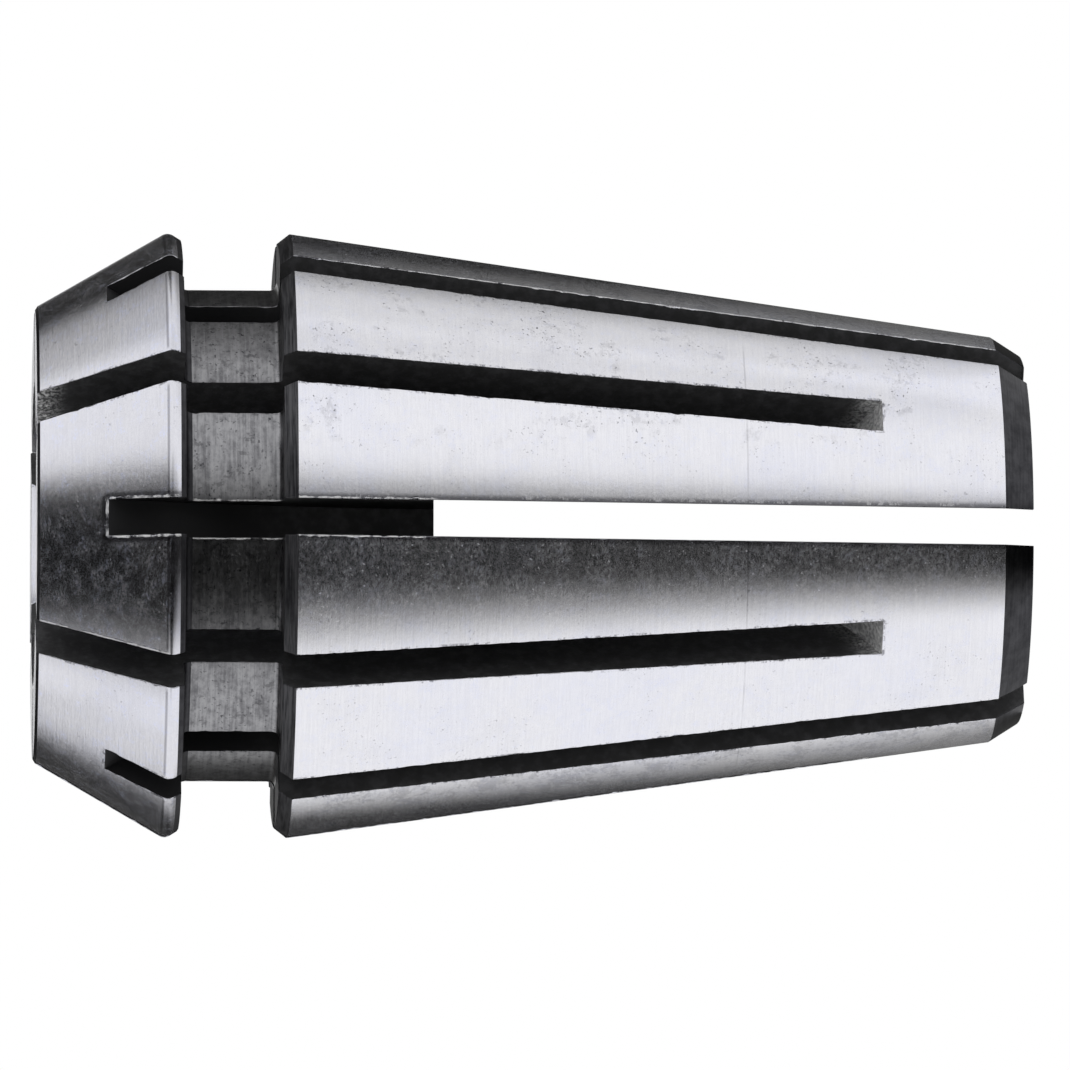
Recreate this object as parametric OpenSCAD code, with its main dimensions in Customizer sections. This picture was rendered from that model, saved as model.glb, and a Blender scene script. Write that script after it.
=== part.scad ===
// Double slotted spring collet, standing on its small rear end with the clamping nose up.
// Origin at the centre of the rear face, Z along the axis towards the nose, all sizes in mm.
// Distances named "from the nose" are measured along the axis from the nose face.

/* [Overall] */
// Length over both end faces
collet_len = 27.6; // [26.6:0.1:30]
// Diameter at the large end of the seat taper
body_dia = 16.9; // [16.6:0.05:17.2]

/* [Clamping nose] */
// Diameter of the nose face, before its edge is broken
nose_face_dia = 12.7; // [12.5:0.05:13]
// Edge break between the nose face and the clamping taper
nose_edge_break = 0.075; // [0.03:0.005:0.2]
// Half angle of the clamping taper
nose_angle = 30; // [29:0.25:31]
// Distance from the nose to the sharp top of the crown
crown_at = 3.7; // [3.5:0.05:3.8]
// Radius that rounds the crown
crown_round = 0.28; // [0.15:0.01:0.32]
// Slope of the back of the crown, measured from the axis
crown_back_angle = 32; // [25:1:40]

/* [Extraction groove] */
// Distance from the nose to the front wall of the groove
groove_at = 4.06; // [4:0.01:4.15]
// Width of the groove between its walls
groove_width = 2.69; // [2.4:0.01:2.8]
// Diameter of the groove floor
groove_dia = 13.74; // [13.4:0.02:14]
// Fillet where the groove floor meets each wall
groove_fillet = 0.2; // [0.1:0.02:0.3]
// Height of the shoulder chamfer behind the groove
shoulder_drop = 0.28; // [0.15:0.01:0.4]
// Slope of the shoulder chamfer, measured from the axis
shoulder_angle = 38; // [30:1:50]

/* [Seat taper] */
// Half angle of the seat taper
seat_angle = 8; // [7.5:0.1:8.5]
// Length of the rear chamfer
rear_chamfer_len = 0.83; // [0.5:0.01:1.2]
// Slope of the rear chamfer, measured from the axis
rear_chamfer_angle = 32.5; // [25:0.5:40]

/* [Bore] */
// Diameter of the gripping bore
bore_dia = 8; // [7:0.1:9]
// Chamfer at both mouths of the bore
bore_chamfer = 0.3; // [0.2:0.05:0.45]

/* [Slots] */
// Slots sawn from each end
slots_each_end = 6; // [5:1:6]
// Width of every slot
slot_width = 1; // [0.8:0.05:1.1]
// Distance from the nose where the slots sawn from the rear end on the surface
rear_slot_stop = 1.94; // [1.7:0.02:2.4]
// Distance from the nose where the slots sawn from the rear end in the bore
rear_slot_bore_stop = 11.05; // [10:0.05:12]
// Diameter of the saw that cuts from the rear
rear_saw_dia = 40; // [36:0.5:46]
// Distance from the rear face where the slots sawn from the nose end on the surface
nose_slot_stop = 4.21; // [3.8:0.02:5.5]
// Diameter of the saw that cuts from the nose
nose_saw_dia = 20; // [18:0.25:24]

/* [Hidden] */

// Facets of the turned surfaces and of the saw discs in the preview
turned_facets = 96;
saw_facets = 120;
// Steps of the rounded corners in the turned profile
round_steps = 4;
// How far the cutting shapes run past the part
clear = 1;

// Seat taper, from its large end to the rear chamfer
body_r = body_dia / 2;
groove_r = groove_dia / 2;
groove_end = groove_at + groove_width;
shoulder_end = groove_end + shoulder_drop / tan(shoulder_angle);
rear_chamfer_at = collet_len - rear_chamfer_len;
rear_taper_r = body_r - (rear_chamfer_at - shoulder_end) * tan(seat_angle);
rear_face_r = rear_taper_r - rear_chamfer_len * tan(rear_chamfer_angle);

// Clamping taper, from the nose face to the sharp top of the crown
nose_face_r = nose_face_dia / 2;
crown_r = nose_face_r + crown_at * tan(nose_angle);
crown_back_r = crown_r - (groove_at - crown_at) * tan(crown_back_angle);

// Centre of the crown's rounding, where it touches both slopes
crown_tangent = crown_round * tan((nose_angle + crown_back_angle) / 2);
crown_mid_at = crown_at - crown_tangent * cos(nose_angle) + crown_round * sin(nose_angle);
crown_mid_r = crown_r - crown_tangent * sin(nose_angle) - crown_round * cos(nose_angle);

// Bore
bore_r = bore_dia / 2;
bore_mouth_r = bore_r + bore_chamfer;

// Centre of the rear saw: its rim passes the stop on the surface and the stop in the bore
rear_stop_r = nose_face_r + rear_slot_stop * tan(nose_angle);
rear_chord_z = rear_slot_bore_stop - rear_slot_stop;
rear_chord_r = rear_stop_r - bore_r;
rear_chord = sqrt(pow(rear_chord_z, 2) + pow(rear_chord_r, 2));
rear_saw_r = rear_saw_dia / 2;
rear_saw_rise = sqrt(pow(rear_saw_r, 2) - pow(rear_chord / 2, 2));
rear_saw_x = (rear_stop_r + bore_r) / 2 + rear_saw_rise * rear_chord_z / rear_chord;
rear_saw_at = (rear_slot_stop + rear_slot_bore_stop) / 2 + rear_saw_rise * rear_chord_r / rear_chord;

// Centre of the nose saw: its rim runs down to the axis and passes the stop on the surface
nose_saw_r = nose_saw_dia / 2;
nose_stop_at = collet_len - nose_slot_stop;
nose_stop_r = body_r - (nose_stop_at - shoulder_end) * tan(seat_angle);
nose_saw_at = nose_stop_at - sqrt(pow(nose_saw_r, 2) - pow(nose_saw_r - nose_stop_r, 2));

slot_step = 360 / slots_each_end;

// Points of an arc in the turned profile, radius first and height above the rear face second
function arc(mid_at, mid_r, r, a0, a1) = [
    for (i = [0 : round_steps])
        let (a = a0 + (a1 - a0) * i / round_steps)
        [mid_r + r * sin(a), collet_len - mid_at + r * cos(a)]
];

// Solid of revolution with the clamping taper, crown, groove and seat taper
module turned_body() {
    color([0.7, 0.7, 0.72])
    rotate_extrude($fn = turned_facets)
    polygon(concat(
        [[0, 0]],
        [[rear_face_r, 0]],
        [[rear_taper_r, rear_chamfer_len]],
        [[body_r, collet_len - shoulder_end]],
        [[body_r - shoulder_drop, collet_len - groove_end]],
        arc(groove_end - groove_fillet, groove_r + groove_fillet, groove_fillet, 180, 270),
        arc(groove_at + groove_fillet, groove_r + groove_fillet, groove_fillet, 270, 360),
        [[crown_back_r, collet_len - groove_at]],
        arc(crown_mid_at, crown_mid_r, crown_round, 90 + crown_back_angle, 90 - nose_angle),
        [[nose_face_r + nose_edge_break * tan(nose_angle), collet_len - nose_edge_break]],
        [[nose_face_r - nose_edge_break, collet_len]],
        [[0, collet_len]]
    ));
}

// Through bore with a chamfer at each mouth, turned so that its seam lies in the middle of a finger
module bore_void() {
    rotate([0, 0, slot_step / 4])
    translate([0, 0, -clear])
    cylinder(r = bore_r, h = collet_len + 2 * clear, $fn = turned_facets);
    translate([0, 0, -clear])
    cylinder(r1 = bore_mouth_r + clear, r2 = bore_r, h = bore_chamfer + clear, $fn = turned_facets);
    translate([0, 0, collet_len - bore_chamfer])
    cylinder(r1 = bore_r, r2 = bore_mouth_r + clear, h = bore_chamfer + clear, $fn = turned_facets);
}

// Disc left by the saw where its feed stops, with its rim at the slot's floor
module saw_disc(saw_x, saw_z, saw_r) {
    translate([saw_x, 0, saw_z])
    rotate([90, 0, 0])
    cylinder(r = saw_r, h = slot_width, center = true, $fn = saw_facets);
}

// One slot sawn from the rear face, which runs out through the clamping taper near the nose
module rear_slot() {
    saw_z = collet_len - rear_saw_at;
    saw_disc(rear_saw_x, saw_z, rear_saw_r);
    translate([rear_saw_x - rear_saw_r, -slot_width / 2, -clear])
    cube([body_r + clear, slot_width, saw_z + clear]);
}

// One slot sawn from the nose face, which runs out on the seat taper near the rear
module nose_slot() {
    saw_z = collet_len - nose_saw_at;
    saw_disc(nose_saw_r, saw_z, nose_saw_r);
    translate([0, -slot_width / 2, saw_z])
    cube([body_r + clear, slot_width, nose_saw_at + clear]);
}

// The collet: slots from the rear face the front, those from the nose lie halfway between them
module collet() {
    color([0.7, 0.7, 0.72])
    difference() {
        turned_body();
        bore_void();
        for (i = [0 : slots_each_end - 1]) {
            rotate([0, 0, i * slot_step - 90])
            rear_slot();
            rotate([0, 0, (i + 0.5) * slot_step - 90])
            nose_slot();
        }
    }
}

collet();
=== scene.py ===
import math

import bpy
import numpy as np
from mathutils import Matrix, Vector


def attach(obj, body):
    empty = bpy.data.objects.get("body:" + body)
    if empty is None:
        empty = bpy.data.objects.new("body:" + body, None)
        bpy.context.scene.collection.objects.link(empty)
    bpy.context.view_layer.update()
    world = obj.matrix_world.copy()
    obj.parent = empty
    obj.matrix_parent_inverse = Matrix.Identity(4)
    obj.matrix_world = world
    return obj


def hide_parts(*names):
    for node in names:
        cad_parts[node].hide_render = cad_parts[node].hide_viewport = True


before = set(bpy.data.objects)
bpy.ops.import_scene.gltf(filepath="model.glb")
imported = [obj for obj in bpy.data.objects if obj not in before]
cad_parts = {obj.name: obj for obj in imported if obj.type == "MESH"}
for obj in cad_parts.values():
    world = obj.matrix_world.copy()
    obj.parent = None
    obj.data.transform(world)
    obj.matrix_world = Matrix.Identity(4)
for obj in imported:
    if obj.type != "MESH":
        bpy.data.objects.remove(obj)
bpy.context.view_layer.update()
mm = 0.001


# Camera: a long lens level with the space just beyond the nose, turned a quarter so that the
# standing collet lies on its side in the picture with its nose to the left.
image_side = 1070
film_width = 36.0
focal_in_pixels = 13538.0
lens_distance = 378.7
lens_height = 33.608
aim_height, aim_side = 13.56, 0.07
axis_droop = math.radians(0.3)
slot_roll = math.radians(3.8)


def put_in_scene(name, data):
    """Links a camera or a mesh to the scene as an object of that name."""
    made = bpy.data.objects.new(name, data)
    bpy.context.scene.collection.objects.link(made)
    return made


to_camera = Vector((-math.sin(slot_roll), -math.cos(slot_roll), 0.0))
picture_side = Vector((math.cos(slot_roll), -math.sin(slot_roll), 0.0))
eye = lens_distance * to_camera + Vector((0.0, 0.0, lens_height))
aim_point = aim_side * picture_side + Vector((0.0, 0.0, aim_height))
toward_aim = (aim_point - eye).normalized()
nose_to_left = Vector((0.0, 0.0, -1.0))
level_right = (nose_to_left - nose_to_left.dot(toward_aim) * toward_aim).normalized()
level_up = level_right.cross(toward_aim)
picture_right = math.cos(axis_droop) * level_right + math.sin(axis_droop) * level_up
picture_up = (-toward_aim).cross(picture_right).normalized()
turned_camera = Matrix((picture_right, picture_up, -toward_aim)).transposed().to_4x4()

camera = put_in_scene("camera", bpy.data.cameras.new("camera"))
camera.matrix_world = Matrix.Translation(eye * mm) @ turned_camera
camera.data.sensor_width = film_width
camera.data.lens = focal_in_pixels / image_side * film_width
camera.data.clip_start = 0.01
camera.data.clip_end = 20.0
bpy.context.scene.camera = camera
bpy.context.scene.view_settings.view_transform = "Standard"


# White surroundings: a plain white world and a plain white floor just under the standing part. Both
# show as white behind the collet and in its polished surfaces.
class Field:
    """A number that varies over a surface. It wraps a node's socket, and sums and products of fields add
    Math nodes."""

    def __init__(self, finish, socket):
        self.finish = finish
        self.socket = socket

    def __add__(self, other):
        return self.finish.maths("ADD", self, other)

    def __radd__(self, other):
        return self.finish.maths("ADD", other, self)

    def __sub__(self, other):
        return self.finish.maths("SUBTRACT", self, other)

    def __rsub__(self, other):
        return self.finish.maths("SUBTRACT", other, self)

    def __mul__(self, other):
        return self.finish.maths("MULTIPLY", self, other)

    def __rmul__(self, other):
        return self.finish.maths("MULTIPLY", other, self)

    def __truediv__(self, other):
        return self.finish.maths("DIVIDE", self, other)

    def __abs__(self):
        return self.finish.maths("ABSOLUTE", self)

    def between(self, low, high):
        """0 below low, 1 above high, and a smooth rise between them. With low above high it falls."""
        falls = low > high
        node = self.finish.node("ShaderNodeMapRange", {"interpolation_type": "SMOOTHSTEP"},
                                {"Value": self, "From Min": min(low, high), "From Max": max(low, high),
                                 "To Min": 1.0 if falls else 0.0, "To Max": 0.0 if falls else 1.0})
        return Field(self.finish, node.outputs["Result"])


class Finish:
    """The node tree of one material or of the world."""

    def __init__(self, owner):
        owner.use_nodes = True
        self.owner = owner
        self.tree = owner.node_tree
        self.tree.nodes.clear()

    def node(self, kind, settings=None, inputs=None):
        """Adds a node: its settings first, then a value or a link for each named or numbered socket."""
        made = self.tree.nodes.new(kind)
        for name, value in (settings or {}).items():
            setattr(made, name, value)
        for name, value in (inputs or {}).items():
            if isinstance(value, Field):
                value = value.socket
            if isinstance(value, bpy.types.NodeSocket):
                self.tree.links.new(value, made.inputs[name])
            else:
                made.inputs[name].default_value = value
        return made

    def maths(self, operation, *terms):
        """Adds a Math node whose terms are fields or plain numbers."""
        node = self.node("ShaderNodeMath", {"operation": operation}, dict(enumerate(terms)))
        return Field(self, node.outputs[0])

    def blend(self, share, first, second):
        """Colour that goes from first to second as share goes from 0 to 1."""
        node = self.node("ShaderNodeMix", {"data_type": "RGBA"}, {0: share, 6: first, 7: second})
        return node.outputs[2]

    def place(self, across, along):
        """Object coordinates in millimetres, stretched by one factor across the axis and another along it."""
        here = self.node("ShaderNodeTexCoord").outputs["Object"]
        scale = (across / mm, across / mm, along / mm)
        return self.node("ShaderNodeVectorMath", {"operation": "MULTIPLY"}, {0: here, 1: scale}).outputs[0]

    def axes(self):
        """Distances from the axis in millimetres, to the side that is up in the picture and to the back, and
        height above the rear face."""
        parts = self.node("ShaderNodeSeparateXYZ", None, {0: self.place(1.0, 1.0)})
        return [Field(self, socket) for socket in parts.outputs]

    def attribute(self, name):
        """Number that the mesh keeps for each of its points under that name."""
        return Field(self, self.node("ShaderNodeAttribute", {"attribute_name": name}).outputs["Fac"])

    def noise(self, across, along, detail=2.0, rough=0.5):
        """Cloudy pattern with that many patches to the millimetre across and along the axis, from 0 to 1."""
        node = self.node("ShaderNodeTexNoise", None, {"Vector": self.place(across, along), "Scale": 1.0,
                                                      "Detail": detail, "Roughness": rough})
        return Field(self, node.outputs["Fac"])


white = (1, 1, 1, 1)


def white_backdrop(owner, output_kind, glow_kind, lit_kind, lit_inputs):
    """White at strength 1 to the camera, to gloss and through glass, and a lit surface to other light."""
    finish = Finish(owner)
    path = finish.node("ShaderNodeLightPath").outputs
    seen = finish.maths("MAXIMUM", Field(finish, path["Is Camera Ray"]), Field(finish, path["Is Glossy Ray"]))
    seen = finish.maths("MAXIMUM", seen, Field(finish, path["Is Transmission Ray"]))
    lit = finish.node(lit_kind, None, lit_inputs).outputs[0]
    glow = finish.node(glow_kind, None, {"Color": white, "Strength": 1.0}).outputs[0]
    mixed = finish.node("ShaderNodeMixShader", None, {0: seen, 1: lit, 2: glow}).outputs[0]
    finish.node(output_kind, None, {"Surface": mixed})


world_strength, floor_white = 0.9, (0.9, 0.9, 0.9, 1)
bpy.context.scene.world = bpy.data.worlds.new("white_room")
white_backdrop(bpy.context.scene.world, "ShaderNodeOutputWorld", "ShaderNodeBackground",
               "ShaderNodeBackground", {"Color": white, "Strength": world_strength})

floor_half, floor_top = 6000.0, -0.01
floor_corners = np.array([(-1.0, -1.0), (1.0, -1.0), (1.0, 1.0), (-1.0, 1.0)]) * floor_half
floor_mesh = bpy.data.meshes.new("floor")
floor_mesh.from_pydata([(x * mm, y * mm, floor_top * mm) for x, y in floor_corners], [], [(0, 1, 2, 3)])
floor_paint = bpy.data.materials.new("floor_white")
white_backdrop(floor_paint, "ShaderNodeOutputMaterial", "ShaderNodeEmission",
               "ShaderNodeBsdfDiffuse", {"Color": floor_white})
floor_mesh.materials.append(floor_paint)
floor = put_in_scene("floor", floor_mesh)


# Two dark studio cards, in front of the collet and behind it. Each starts on the floor at its foot,
# runs out, curves up and leans over it, and fades to white at its sides. The camera doesn't see them.
card_reach, card_bend, card_top = 130.0, 40.0, 150.0
card_overhang = math.radians(78)
card_lift = 0.02
out_points, rise_points, lean_points, width_points = 44, 16, 30, 161
near_station = 20.0
collet_middle = 14.0
widest_tangent, beside_tangent = 30.0, 0.4
veil_grey, veil_fade = 0.2, 0.6
window_middle, window_half, window_edge = 40.0, 16.0, 0.1
card_tint = (1, 0.99, 0.95, 1)


def eased(share):
    """Share held between 0 and 1 and smoothed: three times its square less twice its cube."""
    share = np.clip(share, 0, 1)
    return share ** 2 * (3 - 2 * share)


def glowing(finish, colour, strength):
    """Finishes a paper that glows and takes no light."""
    glow = finish.node("ShaderNodeEmission", None, {"Color": colour, "Strength": strength}).outputs[0]
    finish.node("ShaderNodeOutputMaterial", None, {"Surface": glow})


def studio_card(name, facing, foot, ahead, beside, near, far, on_wall, overhead, veil_from, window):
    """Sheet on a grid of path and width. The path runs out along the floor from foot to reach, rises on a
    quarter circle and leans over on a larger arc. Its width grows with the distance from the collet: the
    tangents start that far ahead of the axis and that far beside it. Four stations, near the foot, at the
    bend, on the wall and overhead, each give the tangents where its low side is white and dark and its high
    side is dark and white, and the grey of the dark middle. Beyond the angle veil_from it is veiled grey.
    facing is 1 toward the camera and -1 away from it. A window leaves a white gap for the flat nose face."""
    out = np.linspace(foot, card_reach, out_points)
    rise = np.linspace(0, math.pi / 2, rise_points)[1:]
    lean = np.linspace(0, card_overhang, lean_points)[1:]
    distance = np.r_[out, card_reach + card_bend * np.sin(rise), (card_reach + card_bend) * np.cos(lean)]
    climb = card_bend + card_top * np.sin(lean) / math.sin(card_overhang)
    height = np.r_[0 * out, card_bend * (1 - np.cos(rise)), climb] + card_lift
    path = np.r_[out - card_reach, height[len(out):]]
    stations = np.array([near, far, on_wall, overhead])
    stations_at = (near_station - card_reach, 0, card_bend, 3 * card_bend)
    low_white, low_dark, high_dark, high_white, grey = (
        np.interp(path, stations_at, column)[:, None] for column in stations.T)

    angle = np.linspace(math.atan(stations[:, 0].min()), math.atan(widest_tangent), width_points)[None, :]
    tangent = np.tan(angle)
    low_side = eased((tangent - low_white) / (low_dark - low_white))
    high_side = eased((high_white - tangent) / (high_white - high_dark))
    veil = veil_grey * eased((angle - veil_from) / veil_fade)
    darkness = 1 - (1 - (1 - grey) * low_side * high_side) * (1 - veil)
    if window:
        off_window = np.abs(height - window_middle)[:, None] > window_half
        darkness = darkness * np.clip(np.abs(tangent) / window_edge - 1 + 2 * off_window, 0, 1)

    seen_from = np.hypot(distance - ahead, np.maximum(height - collet_middle, 0))
    side = seen_from[:, None] * tangent + beside * np.clip(tangent / beside_tangent, -1, 1)
    grid = side[..., None] * np.array(picture_side)
    grid = grid + facing * distance[:, None, None] * np.array(to_camera)
    grid[..., 2] += height[:, None]
    rows, columns = darkness.shape
    corner = np.arange((rows - 1) * columns).reshape(rows - 1, columns)[:, :-1].ravel()
    quads = np.stack([corner, corner + 1, corner + columns + 1, corner + columns], 1)
    mesh = bpy.data.meshes.new(name)
    mesh.from_pydata((grid.reshape(-1, 3) * mm).tolist(), [], quads.tolist())
    kept = mesh.attributes.new("darkness", "FLOAT", "POINT")
    kept.data.foreach_set("value", darkness.ravel().astype(np.float32))

    paper = Finish(bpy.data.materials.new(name))
    dark = paper.attribute("darkness")
    glowing(paper, paper.blend(dark, white, card_tint), 1.0 - dark)
    mesh.materials.append(paper.owner)
    card = put_in_scene(name, mesh)
    card.visible_camera = card.visible_diffuse = card.visible_shadow = False


studio_card("front_card", facing=1, foot=5.0, ahead=3.0, beside=0.0,
            near=(-1.00, -0.24, 0.16, 0.58, 0.03), far=(-1.45, -0.41, 0.16, 0.58, 0.01),
            on_wall=(-2.50, -0.99, 0.24, 0.72, 0.01), overhead=(-1.25, -0.38, 0.23, 0.45, 0.01),
            veil_from=0.9, window=False)
studio_card("back_card", facing=-1, foot=-1.9, ahead=-2.0, beside=5.9,
            near=(-2.5, 0.05, 0.1, 3.3, 0.14), far=(-2.0, -0.85, 0.3, 4.0, 0.01),
            on_wall=(-2.4, -0.8, 1.2, 14.0, 0.05), overhead=(-1.24, -0.70, 0.56, 1.45, 0.03),
            veil_from=-0.4, window=True)


# The collet's body: one piece of hardened spring steel, turned all round, sawn from both ends into
# twelve fingers, then ground on its two tapers. The same sizes as the solid, with fine rounded edges.
collet_len = 27.6
body_r = 8.45
nose_face_r = 6.35
nose_edge_break = 0.075
nose_slope = math.tan(math.radians(30))
crown_at, crown_round = 3.7, 0.28
crown_back_slope = math.tan(math.radians(32))
groove_at, groove_width, groove_r, groove_fillet = 4.06, 2.69, 6.87, 0.2
shoulder_drop = 0.28
shoulder_end = groove_at + groove_width + shoulder_drop / math.tan(math.radians(38))
seat_slope = math.tan(math.radians(8))
rear_chamfer_len = 0.83
rear_taper_r = body_r - (collet_len - rear_chamfer_len - shoulder_end) * seat_slope
rear_face_r = rear_taper_r - rear_chamfer_len * math.tan(math.radians(32.5))
bore_r, bore_chamfer = 4.0, 0.3
crown_r = nose_face_r + crown_at * nose_slope
crown_z = collet_len - crown_at
groove_head_z = collet_len - groove_at
groove_foot_z = collet_len - groove_at - groove_width

# Slots. The even ones are sawn from the rear and stop near the nose, the odd ones the other way round.
slot_count = 12
slot_half = 0.5
rear_saw_r, nose_saw_r = 20.0, 10.0
rear_stop_z = collet_len - 1.94
rear_bore_stop_z = collet_len - 11.05
nose_stop_z = 4.21
nose_stop_r = body_r - (collet_len - nose_stop_z - shoulder_end) * seat_slope
nose_saw_z = nose_stop_z + math.sqrt(nose_saw_r ** 2 - (nose_saw_r - nose_stop_r) ** 2)
nose_bore_stop_z = nose_saw_z - math.sqrt(nose_saw_r ** 2 - (nose_saw_r - bore_r) ** 2)

# Corners of the section: radius, height and rounding, then the step and the finish of the stretch after it.
GROUND, GROOVE, TURNED, SAWN, RAMP = range(5)
section = [
    (bore_r + bore_chamfer, 0.0, 0.03, 0.30, TURNED),
    (rear_face_r, 0.0, 0.05, 0.15, TURNED),
    (rear_taper_r, rear_chamfer_len, 0.05, 0.10, GROUND),
    (body_r, collet_len - shoulder_end, 0.03, 0.10, TURNED),
    (body_r - shoulder_drop, groove_foot_z, 0.04, 0.15, TURNED),
    (groove_r, groove_foot_z, groove_fillet, 0.12, GROOVE),
    (groove_r, groove_head_z, groove_fillet, 0.15, TURNED),
    (crown_r - (groove_at - crown_at) * crown_back_slope, groove_head_z, 0.03, 0.10, TURNED),
    (crown_r, crown_z, crown_round, 0.12, GROUND),
    (nose_face_r + nose_edge_break * nose_slope, collet_len - nose_edge_break, 0.02, 0.05, TURNED),
    (nose_face_r - nose_edge_break, collet_len, 0.02, 0.30, GROUND),
    (bore_r + bore_chamfer, collet_len, 0.03, 0.15, GROUND),
    (bore_r, collet_len - bore_chamfer, 0.05, 0.80, GROUND),
    (bore_r, bore_chamfer, 0.05, 0.15, TURNED),
]

# Rings lie exactly where a slot stops and a little way into it, on these stretches of the section.
seat_stretch, nose_stretch, bore_stretch = 2, 8, 12
into_slot = 0.05
exact_heights = {
    seat_stretch: [nose_stop_z, nose_stop_z + into_slot],
    nose_stretch: [rear_stop_z - into_slot, rear_stop_z],
    bore_stretch: [rear_bore_stop_z, rear_bore_stop_z - into_slot,
                   nose_bore_stop_z, nose_bore_stop_z + into_slot],
}

# An arc has more points where its rounding is large. A step too close to a slot's stop is left out. Wear
# takes no more than a share of the rounding.
large_round, large_round_points, small_round_points = 0.1, 6, 4
closest_rings = 0.03
room_share = 0.8


def rounded_section():
    """Follows the section's corners once round. A corner is cut back by its rounding over the tangent of half
    its angle and replaced by an arc, whose direction turns evenly. A straight stretch is stepped evenly, with
    a point at each height where a slot stops. Returns radius, height, outward normal, the depth to which the
    skin may be worn there without its corners crossing, and finish of each point."""
    corners = np.array([corner[:2] for corner in section])
    rounding = np.array([corner[2] for corner in section])
    to_last = np.roll(corners, 1, 0) - corners
    to_next = np.roll(corners, -1, 0) - corners
    to_last = to_last / np.linalg.norm(to_last, axis=1)[:, None]
    to_next = to_next / np.linalg.norm(to_next, axis=1)[:, None]
    angle = np.arccos(np.clip((to_last * to_next).sum(1), -1, 1))
    cut = (rounding / np.tan(angle / 2))[:, None]
    starts, ends = corners + to_last * cut, corners + to_next * cut
    inward = (to_last + to_next) / np.linalg.norm(to_last + to_next, axis=1)[:, None]
    middle = corners + inward * (rounding / np.sin(angle / 2))[:, None]
    points, headings, rooms, finishes = [], [], [], []
    for i, (_, _, radius, step, stretch_finish) in enumerate(section):
        bend = math.pi - angle[i]
        turn = np.linspace(0, 1, large_round_points if radius > large_round else small_round_points)[:, None]
        leaving, arriving = np.sin((1 - turn) * bend), np.sin(turn * bend)
        spoke = (leaving * (starts[i] - middle[i]) + arriving * (ends[i] - middle[i])) / math.sin(bend)
        points.append(middle[i] + spoke)
        headings.append((leaving * -to_last[i] + arriving * to_next[i]) / math.sin(bend))
        rooms.append(np.full(len(turn), room_share * radius))
        following = (i + 1) % len(section)
        span = starts[following] - ends[i]
        length = np.linalg.norm(span)
        steps = np.linspace(0, 1, max(2, int(length / step) + 2))[1:-1]
        stops = [(height - ends[i][1]) / span[1] for height in exact_heights.get(i, [])]
        if stops:
            nearest = np.abs(steps[:, None] - np.array(stops)[None, :]).min(1)
            steps = np.sort(np.r_[steps[nearest > closest_rings / abs(span[1])], stops])
        points.append(ends[i] + steps[:, None] * span)
        headings.append(np.repeat(to_next[i][None, :], len(steps), 0))
        rooms.append(np.minimum(room_share * radius + steps * length / 2,
                                room_share * rounding[following] + (1 - steps) * length / 2))
        finishes.append(np.full(len(turn) + len(steps), stretch_finish))
    points, headings = np.concatenate(points), np.concatenate(headings)
    normals = np.stack([headings[:, 1], -headings[:, 0]], 1)
    return points[:, 0], points[:, 1], normals, np.concatenate(rooms), np.concatenate(finishes)


ring_r, ring_z, ring_n, ring_room, ring_finish = rounded_section()
rings = len(ring_r)
ring_index = np.arange(rings)

# The crown's back is ground too, but for a narrow strip at its foot.
dark_strip = 0.14
on_crown_back = (ring_z > groove_head_z + dark_strip) & (ring_z < crown_z) & (ring_r > groove_r + 1)
ring_finish[on_crown_back] = GROUND


def ring_at(height, inside):
    """Number of the ring at that height, on the bore's wall or on the outside."""
    on_side = np.isclose(ring_r, bore_r) if inside else ring_n[:, 0] > 0
    return int(np.argmin(np.where(on_side, np.abs(ring_z - height), np.inf)))


# First and last ring of each kind of slot. The faces from the first to the last are open, and the rings
# between the two are inside the slot.
open_from = [ring_at(rear_bore_stop_z, True), ring_at(nose_stop_z, False)]
open_to = [ring_at(rear_stop_z, False) + rings, ring_at(nose_bore_stop_z, True)]
slot_open = [(ring_index - start) % rings < stop - start for start, stop in zip(open_from, open_to)]
slot_inside = [(ring_index - start - 1) % rings < stop - start - 1 for start, stop in zip(open_from, open_to)]
slot_angle = np.radians(-90.0 + 360.0 / slot_count * np.arange(slot_count))
slot_ray = np.array([(math.cos(angle), math.sin(angle), 0.0) for angle in slot_angle])
slot_across = np.array([(-math.sin(angle), math.cos(angle), 0.0) for angle in slot_angle])
upward = np.array([0.0, 0.0, 1.0])


def beside_slot(slot, reach, aside, height):
    """Points that far out along a slot's ray, that far to its side, and at that height."""
    return reach[:, None] * slot_ray[slot] + aside * slot_across[slot] + height[:, None] * upward


# How far each slot's edges are worn back, which wanders along the edge. It is most on the front slot,
# from where that breaks through into the bore to its stop near the nose.
wander = np.random.default_rng(7)
edge_wear, front_wear = 0.02, 0.036
usual_share, share_spread, least_share, most_share = 0.85, 0.5, 0.3, 3.0
front_wear_from_z = rear_bore_stop_z + 0.3


def worn_edge(patch):
    """Uneven wear along both edges of every slot: the slot's own wear times the exponential of random values
    that are smoothed over a few rings, and held between a least and a most share."""
    raw = wander.normal(0, 1, (slot_count, 2, rings + patch))
    kernel = np.hanning(patch + 2)[1:-1]
    kernel = kernel / np.sqrt((kernel ** 2).sum())
    smooth = np.apply_along_axis(lambda row: np.convolve(row, kernel, "valid"), 2, raw)[..., :rings]
    wear = np.full((slot_count, 1, rings), edge_wear)
    wear[0, 0, ring_z > front_wear_from_z] = front_wear
    return wear * np.clip(usual_share * np.exp(share_spread * smooth), least_share, most_share)


wear_width = worn_edge(3)
wear_depth = np.minimum(worn_edge(2), ring_room)
in_bore = ring_n[:, 0] < 0
wear_width[:, :, in_bore] = wear_depth[:, :, in_bore] = edge_wear

faces_between_slots = 9
per_slot = faces_between_slots + 4
columns = slot_count * per_slot


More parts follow.
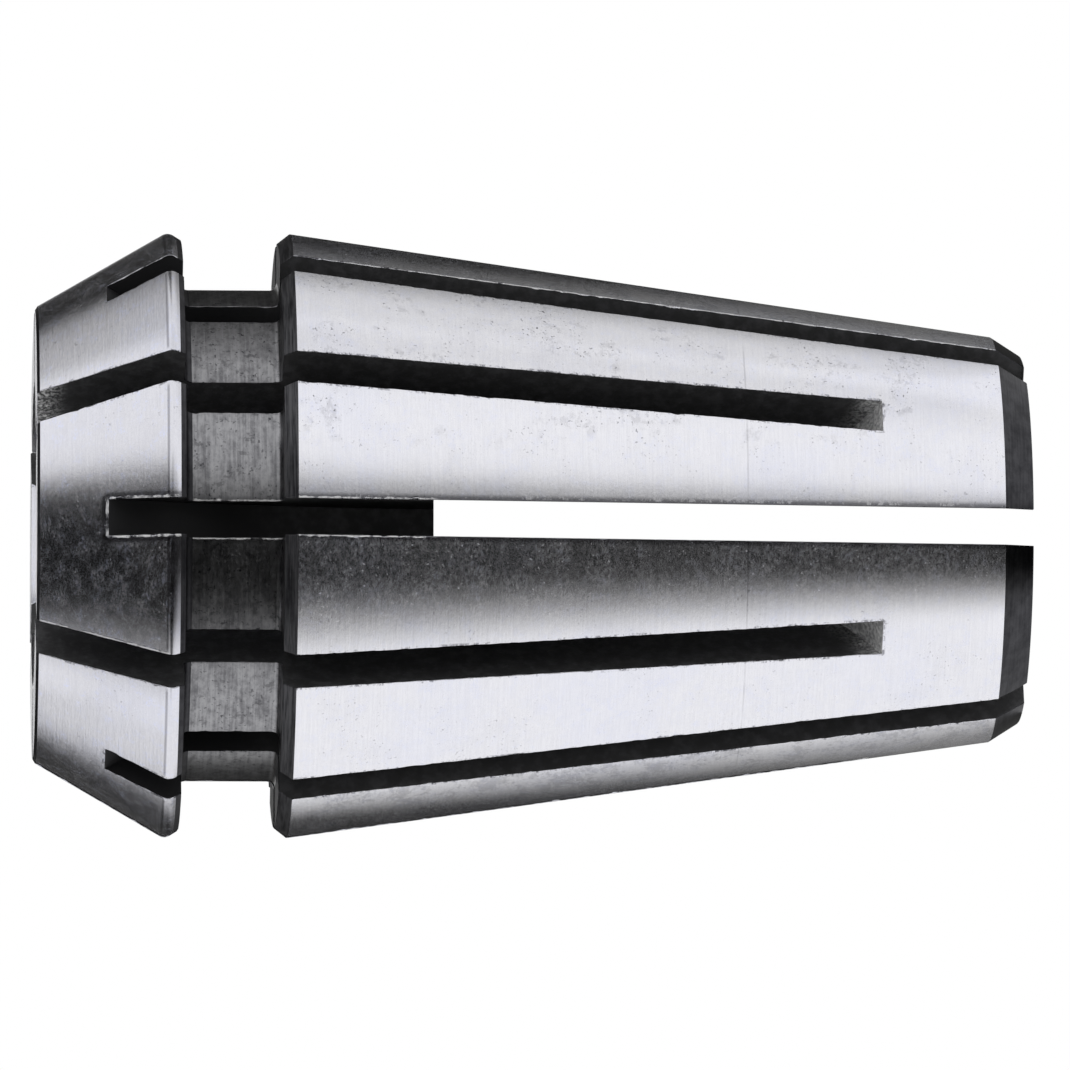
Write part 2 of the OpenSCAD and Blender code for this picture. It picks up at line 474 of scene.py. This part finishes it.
def ring_points():
    """Point of every ring and column. A slot has five columns: its edge on the skin, the edge of its wall,
    its centre line, and the same again in mirror order. The wall's edge lies half a slot from the slot's
    plane and, where the slot is open, is sunk along the skin's normal by the wear. Between two slots the
    columns are spread evenly by angle."""
    place = np.zeros((rings, slot_count, per_slot, 3))
    skin_angle = np.zeros((slot_count, 2, rings))
    for slot in range(slot_count):
        for edge, side in enumerate((-1.0, 1.0)):
            skin_aside = slot_half + wear_width[slot, edge]
            skin_angle[slot, edge] = slot_angle[slot] + side * np.arcsin(skin_aside / ring_r)
            sink = np.where(slot_inside[slot % 2], wear_depth[slot, edge], 0.0)
            wall_reach = np.sqrt(ring_r ** 2 - slot_half ** 2) - sink * ring_n[:, 0]
            wall_z = ring_z - sink * ring_n[:, 1]
            place[:, slot, 2 * edge] = beside_slot(slot, wall_reach, side * slot_half, wall_z)
        place[:, slot, 1] = beside_slot(slot, ring_r, 0.0, ring_z)
    skin_end = np.roll(skin_angle[:, 0], -1, 0)
    skin_end[-1] += 2 * math.pi
    share = np.linspace(0, 1, faces_between_slots + 1)
    for slot in range(slot_count):
        start, end = skin_angle[slot, 1][:, None], skin_end[slot][:, None]
        angle = start + (end - start) * share
        place[:, slot, 3:, 0] = ring_r[:, None] * np.cos(angle)
        place[:, slot, 3:, 1] = ring_r[:, None] * np.sin(angle)
        place[:, slot, 3:, 2] = ring_z[:, None]
    return place.reshape(rings, columns, 3)


skin = ring_points()
azimuth = np.arctan2(skin[..., 1], skin[..., 0])
skin_normal = np.stack([ring_n[:, :1] * np.cos(azimuth), ring_n[:, :1] * np.sin(azimuth),
                        np.repeat(ring_n[:, 1:], columns, 1)], 2)
number = np.arange(rings * columns).reshape(rings, columns)
next_ring, next_column = np.roll(ring_index, -1), np.roll(np.arange(columns), -1)


def four_corners(grid):
    """What a grid of rings and columns, closed both ways, holds at the four corners of each face."""
    return np.stack([grid, grid[:, next_column], grid[next_ring][:, next_column], grid[next_ring]], 2)


# Faces of the skin. The two narrow columns over an open slot are left out, and beside them the worn edge
# takes the wall's normal at the wall.
quads, quad_normals = four_corners(number), four_corners(skin_normal)
shown = np.ones((rings, columns), bool)
for slot in range(slot_count):
    opened, inside = slot_open[slot % 2], slot_inside[slot % 2]
    before, after = (slot * per_slot - 1) % columns, slot * per_slot + 2
    shown[opened, slot * per_slot] = shown[opened, slot * per_slot + 1] = False
    quad_normals[opened & inside, before, 1] = slot_across[slot]
    quad_normals[opened & inside[next_ring], before, 2] = slot_across[slot]
    quad_normals[opened & inside[next_ring], after, 3] = -slot_across[slot]
    quad_normals[opened & inside, after, 0] = -slot_across[slot]

points = [skin.reshape(-1, 3)]
faces = quads[shown].tolist()
loop_normals = [quad_normals[shown].reshape(-1, 3)]
finishes = np.repeat(ring_finish[:, None], columns, 1)[shown].tolist()
made = rings * columns
floor_steps = 40


def saw_arc(start, end, saw_r):
    """Points of the saw's rim between two points of the slot's plane, radius and height, and the direction
    from each to the saw's centre. The centre lies on the outer side, on the line that halves the chord."""
    chord = end - start
    half = np.linalg.norm(chord) / 2
    square = np.array([chord[1], -chord[0]]) / (2 * half)
    square = square if square[0] > 0 else -square
    centre = (start + end) / 2 + square * math.sqrt(saw_r ** 2 - half ** 2)
    first, last = (math.atan2(*(point - centre)[::-1]) for point in (start, end))
    last += round((first - last) / (2 * math.pi)) * 2 * math.pi
    angle = first + (last - first) * np.linspace(0, 1, floor_steps + 1)
    spokes = np.stack([np.cos(angle), np.sin(angle)], 1)
    return centre + saw_r * spokes, -spokes


# Floor of each slot, in three lines of points, and its two walls, each one face from the floor to the skin.
for slot in range(slot_count):
    start, stop = open_from[slot % 2], open_to[slot % 2] % rings
    base = slot * per_slot
    grid = np.zeros((floor_steps + 1, 3), int)
    normals = np.zeros((floor_steps + 1, 3, 3))
    for line, aside in enumerate((-slot_half, 0.0, slot_half)):
        reach = np.sqrt(ring_r ** 2 - aside ** 2)
        rim, inward = saw_arc(np.array([reach[start], ring_z[start]]), np.array([reach[stop], ring_z[stop]]),
                              (rear_saw_r, nose_saw_r)[slot % 2])
        points.append(beside_slot(slot, rim[:, 0], aside, rim[:, 1])[1:-1])
        normals[:, line] = beside_slot(slot, inward[:, 0], 0.0, inward[:, 1])
        grid[0, line], grid[-1, line] = number[start, base + line], number[stop, base + line]
        grid[1:-1, line] = made + np.arange(floor_steps - 1)
        made += floor_steps - 1
    floor_quads = np.stack([grid[:-1, :-1], grid[:-1, 1:], grid[1:, 1:], grid[1:, :-1]], 2).reshape(-1, 4)
    floor_normals = np.stack([normals[:-1, :-1], normals[:-1, 1:], normals[1:, 1:], normals[1:, :-1]], 2)
    along = (start + np.arange((stop - start) % rings + 1)) % rings
    right_wall = np.r_[number[along, base + 2], grid[1:-1, 2][::-1]]
    left_wall = np.r_[number[along, base], grid[1:-1, 0][::-1]][::-1]
    faces += floor_quads.tolist() + [right_wall.tolist(), left_wall.tolist()]
    loop_normals += [floor_normals.reshape(-1, 3), np.repeat(-slot_across[slot][None, :], len(right_wall), 0),
                     np.repeat(slot_across[slot][None, :], len(left_wall), 0)]
    finishes += [(SAWN, RAMP)[slot % 2]] * (len(floor_quads) + 2)

points = np.concatenate(points)
used = np.unique(np.concatenate([np.array(face) for face in faces]))
renumber = np.full(len(points), -1)
renumber[used] = np.arange(len(used))
points = points[used]
body_mesh = bpy.data.meshes.new("collet_body")
body_mesh.from_pydata((points * mm).tolist(), [], [renumber[np.array(face)].tolist() for face in faces])
body_mesh.polygons.foreach_set("material_index", np.array(finishes, np.int32))
body_mesh.polygons.foreach_set("use_smooth", np.ones(len(faces), bool))
body_mesh.normals_split_custom_set(np.concatenate(loop_normals).tolist())

# Distance of each point of the skin from the nearest slot, for the marks along the slots' edges.
far_from_slots = 9.0
slot_gap = np.full(len(points), far_from_slots)
for slot in range(slot_count):
    aside = np.maximum(np.abs(points @ slot_across[slot]) - slot_half, 0)
    past = (points[:, 2] - rear_stop_z, nose_stop_z - points[:, 2])[slot % 2]
    gap = np.hypot(aside, np.maximum(past, 0))
    slot_gap = np.where(points @ slot_ray[slot] > 0, np.minimum(slot_gap, gap), slot_gap)
kept = body_mesh.attributes.new("slot_gap", "FLOAT", "POINT")
kept.data.foreach_set("value", slot_gap.astype(np.float32))

body = put_in_scene("collet_body", body_mesh)
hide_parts("collet")
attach(body, "root")


# Ground steel: both tapers, the crown, the nose face and the bore are ground to a bright satin that
# keeps fine rings round the axis, with clusters of pits, dust, dark oil along the slots, and painted shade
# and shadow.
def steel(finish, colour, roughness, relief, depth, metallic=1.0):
    """Finishes a steel from its colour, roughness, relief and metal share, and gives it to the body. The
    relief is a height from 0 to 1 that stands for that depth in millimetres."""
    normal = finish.node("ShaderNodeBump", None, {"Height": relief, "Distance": depth * mm}).outputs[0]
    shader = finish.node("ShaderNodeBsdfPrincipled", None, {"Metallic": metallic, "Base Color": colour,
                                                            "Roughness": roughness, "Normal": normal})
    finish.node("ShaderNodeOutputMaterial", None, {"Surface": shader.outputs[0]})
    body_mesh.materials.append(finish.owner)


# Heights from which a mark begins and at which it is full.
nose_from_z, nose_full_z = crown_z - 0.7, crown_z - 0.1
burr_from_z, burr_full_z = 16.5, 17.0
nose_burr_from_z, nose_burr_full_z = 23.6, 23.8
seat_burr_from_z, seat_burr_full_z = 19.6, 19.2
seat_burr_slot, nose_burr_slot = 2, 11


def slot_marks(finish, mottle):
    """Marks along the slots' edges: how much burr, painted as a bright and broken glint, and how much dark
    oil beside it, which beside the slot that faces the camera is partly painted shadow. Both are strong on
    that slot, whose saw came last. A little burr glint is left on one edge of two more slots and of those
    that face them, on the seat along one pair and on the nose along the other."""
    gap = finish.attribute("slot_gap")
    side, back, up = finish.axes()
    front_slot = abs(side).between(1.2, 1.0) * back.between(-2.0, -3.0)
    front_nose = front_slot * up.between(nose_from_z, nose_full_z)
    ragged = gap + (finish.noise(6.0, 6.0, 2.0) - 0.5) * 0.09 - front_nose * 0.025
    # Painted highlight: the burr is drawn as a near-white line, the glint of its raised edge.
    burr_glint = ragged.between(0.06, 0.035) * front_slot * up.between(burr_from_z, burr_full_z)
    burr_glint = burr_glint * finish.noise(2.0, 4.0, 3.0, 0.6).between(0.36, 0.58)
    off_seat_slot, off_nose_slot = (side * slot_across[slot, 0] + back * slot_across[slot, 1]
                                    for slot in (seat_burr_slot, nose_burr_slot))
    seat_edge = off_seat_slot.between(0.0, 0.1) * off_seat_slot.between(1.3, 0.9)
    seat_edge = seat_edge * up.between(seat_burr_from_z, seat_burr_full_z)
    nose_edge = off_nose_slot.between(0.0, 0.1) * off_nose_slot.between(1.3, 0.9)
    nose_edge = nose_edge * up.between(nose_burr_from_z, nose_burr_full_z)
    other_burr_glint = ragged.between(0.065, 0.04) * (seat_edge + nose_edge)
    other_burr_glint = other_burr_glint * finish.noise(3.0, 3.0, 3.0, 0.6).between(0.42, 0.54) * 0.8
    burr_glint = burr_glint + other_burr_glint
    near_edge = gap.between(0.10, 0.04) * (1.0 - front_slot) + gap.between(0.20, 0.05) * front_slot
    # Dark oil along every slot; along the front slot, the thin dark line and the wider band beside the burr
    # are painted shadow.
    oil_and_shadow = near_edge * (mottle + 0.10 * front_slot).between(0.50, 0.60) + gap.between(0.05, 0.025) * front_slot
    oil_and_shadow = oil_and_shadow + gap.between(0.26, 0.10) * front_nose * (0.4 + mottle)
    oil_and_shadow = finish.maths("MINIMUM", oil_and_shadow, 1.0)
    return burr_glint, oil_and_shadow * (1.0 - burr_glint)


bright_steel, shaded_steel = (0.855, 0.855, 0.90, 1), (0.60, 0.60, 0.66, 1)
blue_steel, dirt_and_shade_black, burr_glint_white = (0.72, 0.75, 0.93, 1), (0.10, 0.10, 0.12, 1), (0.8, 0.8, 0.8, 1)
crown_line_z, gauge_line_z = 24.035, 8.03

ground = Finish(bpy.data.materials.new("ground_steel"))
side, back, up = ground.axes()
from_axis = ground.maths("SQRT", side * side + back * back)
outside = from_axis.between(bore_r + 0.35, bore_r + 0.5)
cone = up.between(nose_from_z, nose_full_z)
fine_rings = ground.noise(0.4, 22.0, 3.0, 0.65)
streaks = ground.noise(1.5, 15.0, 3.0, 0.7)
mottle = ground.noise(6.0, 8.0, 3.0, 0.7)
fine = ground.noise(11.0, 20.0, 3.0, 0.8)
patches = ground.noise(0.45, 0.5, 3.0, 0.6)
clouds = ground.noise(1.1, 1.3, 4.0, 0.65)
grain = fine_rings * 0.25 + streaks * 0.25 + mottle * 0.25 + fine * 0.25

# Pits and stains gather on the upper fingers, painted shade on the top and bottom ones, and specks
# everywhere.
upper = side.between(1.5, 3.0) * (1.0 - cone)
clusters = ground.noise(0.8, 0.7, 2.0).between(0.52, 0.60)
pits = ground.noise(11.0, 12.0, 1.0).between(0.67, 0.73)
pits = pits * (patches.between(0.5, 0.60) * 0.5 + clusters * upper) * outside
stains = ground.noise(3.0, 3.5, 4.0, 0.7).between(0.50, 0.64) * clusters * upper
specks = ground.noise(16.0, 16.0, 0.0).between(0.77, 0.84)
# Painted shade: the fingers at the top and bottom are darkened in mottled patches.
side_shade = (abs(side) / from_axis).between(0.84, 0.90)
side_shade = side_shade * (mottle * 0.4 + clouds * 0.6).between(0.46, 0.58) * outside

# A thin haze of dust on the seat and smoky patches on the clamping taper, blue in places.
haze = (fine * 0.55 + mottle * 0.35 + streaks * 0.10).between(0.40, 0.66)
haze = haze * (0.35 + 0.65 * clouds.between(0.38, 0.62))
smoke = ground.noise(2.0, 2.6, 5.0, 0.75).between(0.42, 0.60) * (0.1 + 0.9 * fine.between(0.46, 0.60))
haze = haze * (1.0 - cone) + smoke * 0.75 * cone
blue = (haze + smoke * cone) * ground.noise(3.0, 3.0, 3.0).between(0.48, 0.60)
blue = blue + 0.3 * ground.noise(0.28, 0.22, 2.0).between(0.50, 0.62)

# Burr, painted as a bright glint, and oil at the slots with painted shadow beside the front slot, a dark line
# round the crown, a smudge on it below the front slot, and the fine line scribed round the seat.
burr_glint, oil_and_shadow = slot_marks(ground, mottle * 0.6 + patches * 0.4)
crown_line = abs(up - crown_line_z).between(0.05, 0.015) * ground.attribute("slot_gap").between(0.02, 0.2)
smudge = up.between(crown_z - 0.35, crown_z - 0.2) * up.between(crown_z + 0.12, crown_z + 0.05)
smudge = smudge * side.between(0.3, -0.4) * side.between(-4.0, -2.6) * back.between(0.0, -1.0)
gauge_line = abs(up - gauge_line_z).between(0.035, 0.01) * patches.between(0.35, 0.6) * outside

dirt_and_shade = pits * 0.6 + stains * 0.2 + side_shade * 0.3 + crown_line * 0.5 + gauge_line * 0.25
dirt_and_shade = dirt_and_shade + oil_and_shadow * 0.7 + smudge * 0.7 * (1.0 - oil_and_shadow)
shade = grain.between(0.60, 0.40) * 0.28 + patches.between(0.55, 0.75) * 0.14 + cone * 0.36
colour = ground.blend(shade, bright_steel, shaded_steel)
colour = ground.blend(blue * 0.5, colour, blue_steel)
# Dirt together with painted shade and shadow, all blended toward near-black.
colour = ground.blend(dirt_and_shade, colour, dirt_and_shade_black)
# Painted highlight: the burr's glint, blended toward near-white.
colour = ground.blend(burr_glint * 0.8, colour, burr_glint_white)
steel(ground, colour, roughness=0.15 + mottle * 0.10 + patches.between(0.4, 0.7) * 0.04,
      relief=grain * 0.6 + streaks * (0.15 - 0.05 * cone) + clouds * 0.25, depth=0.008,
      metallic=1.0 - burr_glint * 0.6 - haze * 0.155 - specks * 0.25)


# Groove floor: the same steel, turned and not ground, so it is duller and greyer, with turning marks,
# pits and stains, and one finger darkened further by painted shade.
groove_dark, groove_light = (0.15, 0.15, 0.16, 1), (0.36, 0.36, 0.375, 1)
groove_dirt_and_shade, groove_burr_glint = (0.04, 0.04, 0.045, 1), (0.7, 0.7, 0.7, 1)

groove = Finish(bpy.data.materials.new("groove_steel"))
side = groove.axes()[0]
marks = groove.noise(0.5, 14.0, 3.0, 0.6)
mottle = groove.noise(4.0, 6.0, 4.0, 0.7)
bands = groove.noise(0.7, 2.2, 3.0, 0.6)
pits = groove.noise(9.0, 10.0, 1.0).between(0.66, 0.72)
stains = groove.noise(3.5, 3.0, 3.0, 0.7).between(0.58, 0.66)
dust = groove.noise(12.0, 14.0, 2.0, 0.7).between(0.52, 0.68)
# Painted shade: one finger on the upper side is darkened.
finger_shade = side.between(4.3, 4.8) * side.between(5.9, 5.3)
burr_glint, oil_and_shadow = slot_marks(groove, mottle)
shade = (marks * 0.3 + mottle * 0.4 + bands * 0.3).between(0.36, 0.62)
colour = groove.blend(shade, groove_dark, groove_light)
# Pits, stains and oil, with the painted shade of that finger and painted shadow beside the front slot.
colour = groove.blend(pits * 0.6 + stains * 0.42 + oil_and_shadow * 0.4 + finger_shade * 0.3, colour, groove_dirt_and_shade)
# Painted highlight: the burr's glint.
colour = groove.blend(burr_glint * 0.8, colour, groove_burr_glint)
steel(groove, colour, roughness=0.24 + mottle * 0.12, relief=marks * 0.5 + mottle * 0.5, depth=0.005,
      metallic=1.0 - burr_glint * 0.6 - dust * 0.12)


# Turned edges: the groove's walls, the chamfers, the bore's rear mouth and the rear face are turned
# before hardening and keep its dark skin. The shoulder chamfer is rubbed a little lighter.
skin_dark, skin_light, skin_rubbed = (0.030, 0.030, 0.034, 1), (0.075, 0.075, 0.082, 1), (0.17, 0.17, 0.18, 1)
shoulder_low, shoulder_high, shoulder_fade = 20.3, 21.0, 0.1

turned = Finish(bpy.data.materials.new("dark_turned_steel"))
up = turned.axes()[2]
marks = turned.noise(0.8, 18.0, 3.0, 0.6)
mottle = turned.noise(2.5, 3.0, 4.0, 0.65)
shoulder = up.between(shoulder_low, shoulder_low + shoulder_fade)
shoulder = shoulder * up.between(shoulder_high, shoulder_high - shoulder_fade)
colour = turned.blend((marks * 0.4 + mottle * 0.6).between(0.3, 0.7), skin_dark, skin_light)
colour = turned.blend(shoulder * marks.between(0.35, 0.65) * 0.6, colour, skin_rubbed)
steel(turned, colour, roughness=0.42 + mottle * 0.1, relief=marks, depth=0.003)


# Walls and floors of the slots sawn from the rear: hardened after sawing and blackened by it and by oil,
# most of all toward the nose.
sawn_dark, sawn_light, sawn_black = (0.06, 0.06, 0.062, 1), (0.095, 0.095, 0.10, 1), (0.022, 0.022, 0.024, 1)
black_from_z, black_full_z = 19.5, 22.5

sawn = Finish(bpy.data.materials.new("sawn_black_steel"))
up = sawn.axes()[2]
mottle = sawn.noise(3.0, 3.0, 3.0, 0.6)
colour = sawn.blend(mottle.between(0.4, 0.7), sawn_dark, sawn_light)
colour = sawn.blend(up.between(black_from_z, black_full_z), colour, sawn_black)
steel(sawn, colour, roughness=0.55 + mottle * 0.1, relief=mottle, depth=0.006, metallic=0.5)


# Walls and floors of the slots sawn from the nose: blackened too, but the curved floor is grey where the saw
# runs out, partly worn and partly painted light. The grey climbs the walls a little, and one wall is scraped
# grey at the nose face.
wall_dark, wall_light = (0.07, 0.07, 0.072, 1), (0.15, 0.15, 0.157, 1)
worn_lit_grey, worn_lit_white = (0.45, 0.45, 0.46, 1), (0.9, 0.9, 0.9, 1)
worn_lit_from_z, worn_lit_full_z = 8.0, 7.0
stop_from_z, stop_full_z = 5.2, 4.4
scraped_from_z, scraped_full_z = 26.7, 27.3

ramp = Finish(bpy.data.materials.new("saw_run_out_steel"))
side, back, up = ramp.axes()
from_axis = ramp.maths("SQRT", side * side + back * back)
mottle = ramp.noise(3.0, 3.0, 3.0, 0.6)
scratches = ramp.noise(9.0, 2.0, 3.0, 0.6)
speckle = ramp.noise(11.0, 11.0, 3.0, 0.7).between(0.42, 0.58)
dust = ramp.noise(10.0, 10.0, 3.0, 0.7).between(0.56, 0.66)
out, above = from_axis - nose_saw_r, up - nose_saw_z
off_floor = nose_saw_r - ramp.maths("SQRT", out * out + above * above)
# The grey is partly wear and partly painted light: full on the curved floor, fading up the walls, and more
# toward the stop.
worn_and_lit = off_floor.between(0.06, 0.02) + off_floor.between(0.9, 0.1) * speckle * 0.4
worn_and_lit = worn_and_lit * up.between(worn_lit_from_z, worn_lit_full_z)
worn_and_lit = worn_and_lit + up.between(stop_from_z, stop_full_z) * (0.3 + 0.5 * speckle)
scraped = up.between(scraped_from_z, scraped_full_z)
scraped = scraped * side.between(2.0, 2.6) * back.between(-3.0, -3.6) * speckle
black = ramp.blend(mottle.between(0.4, 0.7) * 0.6 + dust * 0.4, wall_dark, wall_light)
grey = ramp.blend(scratches.between(0.35, 0.65), worn_lit_grey, worn_lit_white)
colour = ramp.blend(ramp.maths("MINIMUM", worn_and_lit + scraped * 0.9, 1.0), black, grey)
steel(ramp, colour, roughness=0.5 + mottle * 0.1, relief=scratches * 0.5 + mottle * 0.5, depth=0.006,
      metallic=0.65)


# White slip: a strip of white board slid into the slot that faces the camera, from the rear face to just
# past where that slot breaks through, so that it reads as open and white. Stage, for the camera only.
slip_top, slip_sunk = 16.76, 0.1
slip_top_r = rear_taper_r + (slip_top - rear_chamfer_len) * seat_slope
slip_r = np.array([rear_face_r, rear_taper_r, slip_top_r]) - slip_sunk
slip_z = np.array([0.0, rear_chamfer_len, slip_top])
slip_points = np.concatenate([beside_slot(0, slip_r, aside, slip_z) for aside in (-slot_half, slot_half)])
slip_mesh = bpy.data.meshes.new("white_slip")
slip_mesh.from_pydata((slip_points * mm).tolist(), [], [(0, 3, 4, 1), (1, 4, 5, 2)])
slip_paper = Finish(bpy.data.materials.new("white_slip"))
glowing(slip_paper, white, 1.0)
slip_mesh.materials.append(slip_paper.owner)
slip = put_in_scene("white_slip", slip_mesh)
slip.visible_diffuse = slip.visible_glossy = slip.visible_transmission = slip.visible_shadow = False
